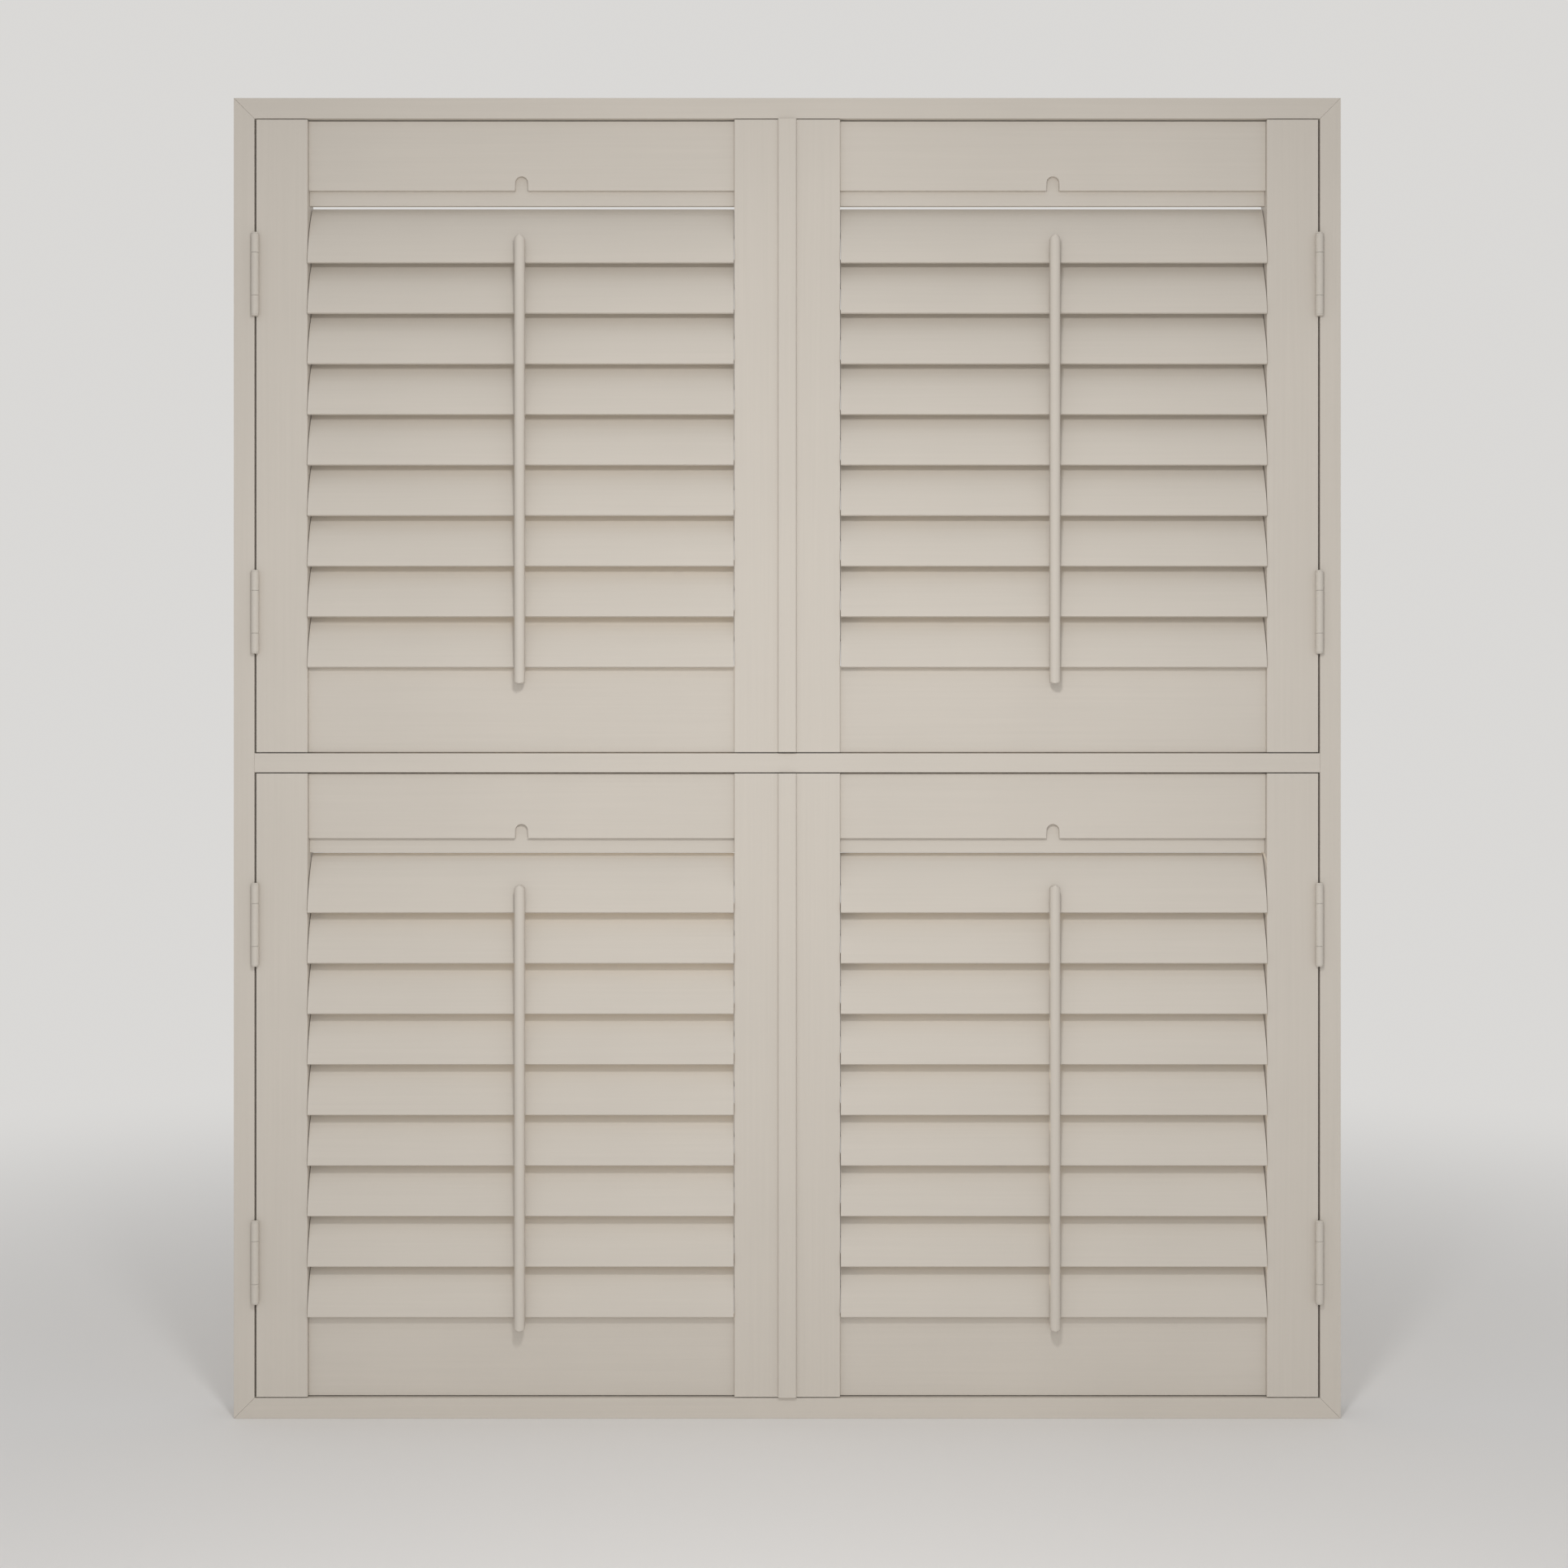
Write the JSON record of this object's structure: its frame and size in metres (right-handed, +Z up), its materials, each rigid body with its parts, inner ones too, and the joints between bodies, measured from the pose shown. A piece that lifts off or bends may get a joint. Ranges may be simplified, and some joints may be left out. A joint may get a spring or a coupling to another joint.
{
  "type": "louvred shutters",
  "caption": "Interior louvred shutters in two tiers of paired hinged leaves, with tilting slats moved by front rods, in a mitred frame.",
  "frame": {"origin": "centre of the frame's bottom face, in width and in depth", "axes": "+Z up, -Y towards the room, +X to the right seen from the room"},
  "size_m": [1.098, 0.062, 1.31],
  "materials": {
    "painted_wood": "satin cream paint over wood",
    "painted_louvre": "satin cream paint over wood, with fused pins and staple",
    "painted_hinge": "satin cream paint over steel"
  },
  "bodies": {
    "frame": {"frame_left_upright": "painted_wood", "frame_right_upright": "painted_wood", "frame_top_rail": "painted_wood", "frame_bottom_rail": "painted_wood", "frame_mid_rail": "painted_wood", "frame_hinge_halves": "painted_hinge"},
    "upper_left_leaf": {"upper_left_stiles": "painted_wood", "upper_left_rails": "painted_wood", "upper_left_hinge_halves": "painted_hinge", "upper_cover_strip": "painted_wood"},
    "upper_left_louvre_1": {"upper_left_louvre_1": "painted_louvre"},
    "upper_left_louvre_2": {"upper_left_louvre_2": "painted_louvre"},
    "upper_left_louvre_3": {"upper_left_louvre_3": "painted_louvre"},
    "upper_left_louvre_4": {"upper_left_louvre_4": "painted_louvre"},
    "upper_left_louvre_5": {"upper_left_louvre_5": "painted_louvre"},
    "upper_left_louvre_6": {"upper_left_louvre_6": "painted_louvre"},
    "upper_left_louvre_7": {"upper_left_louvre_7": "painted_louvre"},
    "upper_left_louvre_8": {"upper_left_louvre_8": "painted_louvre"},
    "upper_left_louvre_9": {"upper_left_louvre_9": "painted_louvre"},
    "upper_left_tilt_rod": {"upper_left_tilt_rod": "painted_wood"},
    "upper_right_leaf": {"upper_right_stiles": "painted_wood", "upper_right_rails": "painted_wood", "upper_right_hinge_halves": "painted_hinge"},
    "upper_right_louvre_1": {"upper_right_louvre_1": "painted_louvre"},
    "upper_right_louvre_2": {"upper_right_louvre_2": "painted_louvre"},
    "upper_right_louvre_3": {"upper_right_louvre_3": "painted_louvre"},
    "upper_right_louvre_4": {"upper_right_louvre_4": "painted_louvre"},
    "upper_right_louvre_5": {"upper_right_louvre_5": "painted_louvre"},
    "upper_right_louvre_6": {"upper_right_louvre_6": "painted_louvre"},
    "upper_right_louvre_7": {"upper_right_louvre_7": "painted_louvre"},
    "upper_right_louvre_8": {"upper_right_louvre_8": "painted_louvre"},
    "upper_right_louvre_9": {"upper_right_louvre_9": "painted_louvre"},
    "upper_right_tilt_rod": {"upper_right_tilt_rod": "painted_wood"},
    "lower_left_leaf": {"lower_left_stiles": "painted_wood", "lower_left_rails": "painted_wood", "lower_left_hinge_halves": "painted_hinge", "lower_cover_strip": "painted_wood"},
    "lower_left_louvre_1": {"lower_left_louvre_1": "painted_louvre"},
    "lower_left_louvre_2": {"lower_left_louvre_2": "painted_louvre"},
    "lower_left_louvre_3": {"lower_left_louvre_3": "painted_louvre"},
    "lower_left_louvre_4": {"lower_left_louvre_4": "painted_louvre"},
    "lower_left_louvre_5": {"lower_left_louvre_5": "painted_louvre"},
    "lower_left_louvre_6": {"lower_left_louvre_6": "painted_louvre"},
    "lower_left_louvre_7": {"lower_left_louvre_7": "painted_louvre"},
    "lower_left_louvre_8": {"lower_left_louvre_8": "painted_louvre"},
    "lower_left_louvre_9": {"lower_left_louvre_9": "painted_louvre"},
    "lower_left_tilt_rod": {"lower_left_tilt_rod": "painted_wood"},
    "lower_right_leaf": {"lower_right_stiles": "painted_wood", "lower_right_rails": "painted_wood", "lower_right_hinge_halves": "painted_hinge"},
    "lower_right_louvre_1": {"lower_right_louvre_1": "painted_louvre"},
    "lower_right_louvre_2": {"lower_right_louvre_2": "painted_louvre"},
    "lower_right_louvre_3": {"lower_right_louvre_3": "painted_louvre"},
    "lower_right_louvre_4": {"lower_right_louvre_4": "painted_louvre"},
    "lower_right_louvre_5": {"lower_right_louvre_5": "painted_louvre"},
    "lower_right_louvre_6": {"lower_right_louvre_6": "painted_louvre"},
    "lower_right_louvre_7": {"lower_right_louvre_7": "painted_louvre"},
    "lower_right_louvre_8": {"lower_right_louvre_8": "painted_louvre"},
    "lower_right_louvre_9": {"lower_right_louvre_9": "painted_louvre"},
    "lower_right_tilt_rod": {"lower_right_tilt_rod": "painted_wood"}
  },
  "joints": [
    {"name": "upper_left_leaf_swing", "type": "hinge", "parent": "frame", "child": "upper_left_leaf", "pos_m": [-0.5269, -0.0271, 0.97475], "axis": [0, 0, -1], "range_deg": [0, 165]},
    {"name": "upper_left_louvre_1_tilt", "type": "hinge", "parent": "upper_left_leaf", "child": "upper_left_louvre_1", "pos_m": [-0.2642, -0.0135, 1.17515], "axis": [-1, 0, 0], "range_deg": [-7.5, 142.5]},
    {"name": "upper_left_louvre_2_tilt", "type": "hinge", "parent": "upper_left_leaf", "child": "upper_left_louvre_2", "pos_m": [-0.2642, -0.0135, 1.12505], "axis": [-1, 0, 0], "range_deg": [-7.5, 142.5]},
    {"name": "upper_left_louvre_3_tilt", "type": "hinge", "parent": "upper_left_leaf", "child": "upper_left_louvre_3", "pos_m": [-0.2642, -0.0135, 1.07495], "axis": [-1, 0, 0], "range_deg": [-7.5, 142.5]},
    {"name": "upper_left_louvre_4_tilt", "type": "hinge", "parent": "upper_left_leaf", "child": "upper_left_louvre_4", "pos_m": [-0.2642, -0.0135, 1.02485], "axis": [-1, 0, 0], "range_deg": [-7.5, 142.5]},
    {"name": "upper_left_louvre_5_tilt", "type": "hinge", "parent": "upper_left_leaf", "child": "upper_left_louvre_5", "pos_m": [-0.2642, -0.0135, 0.97475], "axis": [-1, 0, 0], "range_deg": [-7.5, 142.5]},
    {"name": "upper_left_louvre_6_tilt", "type": "hinge", "parent": "upper_left_leaf", "child": "upper_left_louvre_6", "pos_m": [-0.2642, -0.0135, 0.92465], "axis": [-1, 0, 0], "range_deg": [-7.5, 142.5]},
    {"name": "upper_left_louvre_7_tilt", "type": "hinge", "parent": "upper_left_leaf", "child": "upper_left_louvre_7", "pos_m": [-0.2642, -0.0135, 0.87455], "axis": [-1, 0, 0], "range_deg": [-7.5, 142.5]},
    {"name": "upper_left_louvre_8_tilt", "type": "hinge", "parent": "upper_left_leaf", "child": "upper_left_louvre_8", "pos_m": [-0.2642, -0.0135, 0.82445], "axis": [-1, 0, 0], "range_deg": [-7.5, 142.5]},
    {"name": "upper_left_louvre_9_tilt", "type": "hinge", "parent": "upper_left_leaf", "child": "upper_left_louvre_9", "pos_m": [-0.2642, -0.0135, 0.77435], "axis": [-1, 0, 0], "range_deg": [-7.5, 142.5]},
    {"name": "upper_left_rod_pivot", "type": "hinge", "parent": "upper_left_louvre_1", "child": "upper_left_tilt_rod", "pos_m": [-0.2642, -0.02674, 1.14318], "axis": [-1, 0, 0], "range_deg": [-142.5, 7.5]},
    {"name": "upper_right_leaf_swing", "type": "hinge", "parent": "frame", "child": "upper_right_leaf", "pos_m": [0.5269, -0.0271, 0.97475], "axis": [0, 0, 1], "range_deg": [0, 165]},
    {"name": "upper_right_louvre_1_tilt", "type": "hinge", "parent": "upper_right_leaf", "child": "upper_right_louvre_1", "pos_m": [0.2642, -0.0135, 1.17515], "axis": [-1, 0, 0], "range_deg": [-7.5, 142.5]},
    {"name": "upper_right_louvre_2_tilt", "type": "hinge", "parent": "upper_right_leaf", "child": "upper_right_louvre_2", "pos_m": [0.2642, -0.0135, 1.12505], "axis": [-1, 0, 0], "range_deg": [-7.5, 142.5]},
    {"name": "upper_right_louvre_3_tilt", "type": "hinge", "parent": "upper_right_leaf", "child": "upper_right_louvre_3", "pos_m": [0.2642, -0.0135, 1.07495], "axis": [-1, 0, 0], "range_deg": [-7.5, 142.5]},
    {"name": "upper_right_louvre_4_tilt", "type": "hinge", "parent": "upper_right_leaf", "child": "upper_right_louvre_4", "pos_m": [0.2642, -0.0135, 1.02485], "axis": [-1, 0, 0], "range_deg": [-7.5, 142.5]},
    {"name": "upper_right_louvre_5_tilt", "type": "hinge", "parent": "upper_right_leaf", "child": "upper_right_louvre_5", "pos_m": [0.2642, -0.0135, 0.97475], "axis": [-1, 0, 0], "range_deg": [-7.5, 142.5]},
    {"name": "upper_right_louvre_6_tilt", "type": "hinge", "parent": "upper_right_leaf", "child": "upper_right_louvre_6", "pos_m": [0.2642, -0.0135, 0.92465], "axis": [-1, 0, 0], "range_deg": [-7.5, 142.5]},
    {"name": "upper_right_louvre_7_tilt", "type": "hinge", "parent": "upper_right_leaf", "child": "upper_right_louvre_7", "pos_m": [0.2642, -0.0135, 0.87455], "axis": [-1, 0, 0], "range_deg": [-7.5, 142.5]},
    {"name": "upper_right_louvre_8_tilt", "type": "hinge", "parent": "upper_right_leaf", "child": "upper_right_louvre_8", "pos_m": [0.2642, -0.0135, 0.82445], "axis": [-1, 0, 0], "range_deg": [-7.5, 142.5]},
    {"name": "upper_right_louvre_9_tilt", "type": "hinge", "parent": "upper_right_leaf", "child": "upper_right_louvre_9", "pos_m": [0.2642, -0.0135, 0.77435], "axis": [-1, 0, 0], "range_deg": [-7.5, 142.5]},
    {"name": "upper_right_rod_pivot", "type": "hinge", "parent": "upper_right_louvre_1", "child": "upper_right_tilt_rod", "pos_m": [0.2642, -0.02674, 1.14318], "axis": [-1, 0, 0], "range_deg": [-142.5, 7.5]},
    {"name": "lower_left_leaf_swing", "type": "hinge", "parent": "frame", "child": "lower_left_leaf", "pos_m": [-0.5269, -0.0271, 0.33075], "axis": [0, 0, -1], "range_deg": [0, 165]},
    {"name": "lower_left_louvre_1_tilt", "type": "hinge", "parent": "lower_left_leaf", "child": "lower_left_louvre_1", "pos_m": [-0.2642, -0.0135, 0.53115], "axis": [-1, 0, 0], "range_deg": [-7.5, 142.5]},
    {"name": "lower_left_louvre_2_tilt", "type": "hinge", "parent": "lower_left_leaf", "child": "lower_left_louvre_2", "pos_m": [-0.2642, -0.0135, 0.48105], "axis": [-1, 0, 0], "range_deg": [-7.5, 142.5]},
    {"name": "lower_left_louvre_3_tilt", "type": "hinge", "parent": "lower_left_leaf", "child": "lower_left_louvre_3", "pos_m": [-0.2642, -0.0135, 0.43095], "axis": [-1, 0, 0], "range_deg": [-7.5, 142.5]},
    {"name": "lower_left_louvre_4_tilt", "type": "hinge", "parent": "lower_left_leaf", "child": "lower_left_louvre_4", "pos_m": [-0.2642, -0.0135, 0.38085], "axis": [-1, 0, 0], "range_deg": [-7.5, 142.5]},
    {"name": "lower_left_louvre_5_tilt", "type": "hinge", "parent": "lower_left_leaf", "child": "lower_left_louvre_5", "pos_m": [-0.2642, -0.0135, 0.33075], "axis": [-1, 0, 0], "range_deg": [-7.5, 142.5]},
    {"name": "lower_left_louvre_6_tilt", "type": "hinge", "parent": "lower_left_leaf", "child": "lower_left_louvre_6", "pos_m": [-0.2642, -0.0135, 0.28065], "axis": [-1, 0, 0], "range_deg": [-7.5, 142.5]},
    {"name": "lower_left_louvre_7_tilt", "type": "hinge", "parent": "lower_left_leaf", "child": "lower_left_louvre_7", "pos_m": [-0.2642, -0.0135, 0.23055], "axis": [-1, 0, 0], "range_deg": [-7.5, 142.5]},
    {"name": "lower_left_louvre_8_tilt", "type": "hinge", "parent": "lower_left_leaf", "child": "lower_left_louvre_8", "pos_m": [-0.2642, -0.0135, 0.18045], "axis": [-1, 0, 0], "range_deg": [-7.5, 142.5]},
    {"name": "lower_left_louvre_9_tilt", "type": "hinge", "parent": "lower_left_leaf", "child": "lower_left_louvre_9", "pos_m": [-0.2642, -0.0135, 0.13035], "axis": [-1, 0, 0], "range_deg": [-7.5, 142.5]},
    {"name": "lower_left_rod_pivot", "type": "hinge", "parent": "lower_left_louvre_1", "child": "lower_left_tilt_rod", "pos_m": [-0.2642, -0.02674, 0.49918], "axis": [-1, 0, 0], "range_deg": [-142.5, 7.5]},
    {"name": "lower_right_leaf_swing", "type": "hinge", "parent": "frame", "child": "lower_right_leaf", "pos_m": [0.5269, -0.0271, 0.33075], "axis": [0, 0, 1], "range_deg": [0, 165]},
    {"name": "lower_right_louvre_1_tilt", "type": "hinge", "parent": "lower_right_leaf", "child": "lower_right_louvre_1", "pos_m": [0.2642, -0.0135, 0.53115], "axis": [-1, 0, 0], "range_deg": [-7.5, 142.5]},
    {"name": "lower_right_louvre_2_tilt", "type": "hinge", "parent": "lower_right_leaf", "child": "lower_right_louvre_2", "pos_m": [0.2642, -0.0135, 0.48105], "axis": [-1, 0, 0], "range_deg": [-7.5, 142.5]},
    {"name": "lower_right_louvre_3_tilt", "type": "hinge", "parent": "lower_right_leaf", "child": "lower_right_louvre_3", "pos_m": [0.2642, -0.0135, 0.43095], "axis": [-1, 0, 0], "range_deg": [-7.5, 142.5]},
    {"name": "lower_right_louvre_4_tilt", "type": "hinge", "parent": "lower_right_leaf", "child": "lower_right_louvre_4", "pos_m": [0.2642, -0.0135, 0.38085], "axis": [-1, 0, 0], "range_deg": [-7.5, 142.5]},
    {"name": "lower_right_louvre_5_tilt", "type": "hinge", "parent": "lower_right_leaf", "child": "lower_right_louvre_5", "pos_m": [0.2642, -0.0135, 0.33075], "axis": [-1, 0, 0], "range_deg": [-7.5, 142.5]},
    {"name": "lower_right_louvre_6_tilt", "type": "hinge", "parent": "lower_right_leaf", "child": "lower_right_louvre_6", "pos_m": [0.2642, -0.0135, 0.28065], "axis": [-1, 0, 0], "range_deg": [-7.5, 142.5]},
    {"name": "lower_right_louvre_7_tilt", "type": "hinge", "parent": "lower_right_leaf", "child": "lower_right_louvre_7", "pos_m": [0.2642, -0.0135, 0.23055], "axis": [-1, 0, 0], "range_deg": [-7.5, 142.5]},
    {"name": "lower_right_louvre_8_tilt", "type": "hinge", "parent": "lower_right_leaf", "child": "lower_right_louvre_8", "pos_m": [0.2642, -0.0135, 0.18045], "axis": [-1, 0, 0], "range_deg": [-7.5, 142.5]},
    {"name": "lower_right_louvre_9_tilt", "type": "hinge", "parent": "lower_right_leaf", "child": "lower_right_louvre_9", "pos_m": [0.2642, -0.0135, 0.13035], "axis": [-1, 0, 0], "range_deg": [-7.5, 142.5]},
    {"name": "lower_right_rod_pivot", "type": "hinge", "parent": "lower_right_louvre_1", "child": "lower_right_tilt_rod", "pos_m": [0.2642, -0.02674, 0.49918], "axis": [-1, 0, 0], "range_deg": [-142.5, 7.5]}
  ],
  "couplings": [
    {"joint": "upper_left_louvre_2_tilt", "follows": "upper_left_louvre_1_tilt", "ratio": 1},
    {"joint": "upper_left_louvre_3_tilt", "follows": "upper_left_louvre_1_tilt", "ratio": 1},
    {"joint": "upper_left_louvre_4_tilt", "follows": "upper_left_louvre_1_tilt", "ratio": 1},
    {"joint": "upper_left_louvre_5_tilt", "follows": "upper_left_louvre_1_tilt", "ratio": 1},
    {"joint": "upper_left_louvre_6_tilt", "follows": "upper_left_louvre_1_tilt", "ratio": 1},
    {"joint": "upper_left_louvre_7_tilt", "follows": "upper_left_louvre_1_tilt", "ratio": 1},
    {"joint": "upper_left_louvre_8_tilt", "follows": "upper_left_louvre_1_tilt", "ratio": 1},
    {"joint": "upper_left_louvre_9_tilt", "follows": "upper_left_louvre_1_tilt", "ratio": 1},
    {"joint": "upper_left_rod_pivot", "follows": "upper_left_louvre_1_tilt", "ratio": -1},
    {"joint": "upper_right_louvre_2_tilt", "follows": "upper_right_louvre_1_tilt", "ratio": 1},
    {"joint": "upper_right_louvre_3_tilt", "follows": "upper_right_louvre_1_tilt", "ratio": 1},
    {"joint": "upper_right_louvre_4_tilt", "follows": "upper_right_louvre_1_tilt", "ratio": 1},
    {"joint": "upper_right_louvre_5_tilt", "follows": "upper_right_louvre_1_tilt", "ratio": 1},
    {"joint": "upper_right_louvre_6_tilt", "follows": "upper_right_louvre_1_tilt", "ratio": 1},
    {"joint": "upper_right_louvre_7_tilt", "follows": "upper_right_louvre_1_tilt", "ratio": 1},
    {"joint": "upper_right_louvre_8_tilt", "follows": "upper_right_louvre_1_tilt", "ratio": 1},
    {"joint": "upper_right_louvre_9_tilt", "follows": "upper_right_louvre_1_tilt", "ratio": 1},
    {"joint": "upper_right_rod_pivot", "follows": "upper_right_louvre_1_tilt", "ratio": -1},
    {"joint": "upper_right_leaf_swing", "follows": "upper_left_leaf_swing", "ratio": 1},
    {"joint": "lower_left_louvre_2_tilt", "follows": "lower_left_louvre_1_tilt", "ratio": 1},
    {"joint": "lower_left_louvre_3_tilt", "follows": "lower_left_louvre_1_tilt", "ratio": 1},
    {"joint": "lower_left_louvre_4_tilt", "follows": "lower_left_louvre_1_tilt", "ratio": 1},
    {"joint": "lower_left_louvre_5_tilt", "follows": "lower_left_louvre_1_tilt", "ratio": 1},
    {"joint": "lower_left_louvre_6_tilt", "follows": "lower_left_louvre_1_tilt", "ratio": 1},
    {"joint": "lower_left_louvre_7_tilt", "follows": "lower_left_louvre_1_tilt", "ratio": 1},
    {"joint": "lower_left_louvre_8_tilt", "follows": "lower_left_louvre_1_tilt", "ratio": 1},
    {"joint": "lower_left_louvre_9_tilt", "follows": "lower_left_louvre_1_tilt", "ratio": 1},
    {"joint": "lower_left_rod_pivot", "follows": "lower_left_louvre_1_tilt", "ratio": -1},
    {"joint": "lower_right_louvre_2_tilt", "follows": "lower_right_louvre_1_tilt", "ratio": 1},
    {"joint": "lower_right_louvre_3_tilt", "follows": "lower_right_louvre_1_tilt", "ratio": 1},
    {"joint": "lower_right_louvre_4_tilt", "follows": "lower_right_louvre_1_tilt", "ratio": 1},
    {"joint": "lower_right_louvre_5_tilt", "follows": "lower_right_louvre_1_tilt", "ratio": 1},
    {"joint": "lower_right_louvre_6_tilt", "follows": "lower_right_louvre_1_tilt", "ratio": 1},
    {"joint": "lower_right_louvre_7_tilt", "follows": "lower_right_louvre_1_tilt", "ratio": 1},
    {"joint": "lower_right_louvre_8_tilt", "follows": "lower_right_louvre_1_tilt", "ratio": 1},
    {"joint": "lower_right_louvre_9_tilt", "follows": "lower_right_louvre_1_tilt", "ratio": 1},
    {"joint": "lower_right_rod_pivot", "follows": "lower_right_louvre_1_tilt", "ratio": -1},
    {"joint": "lower_right_leaf_swing", "follows": "lower_left_leaf_swing", "ratio": 1}
  ]
}
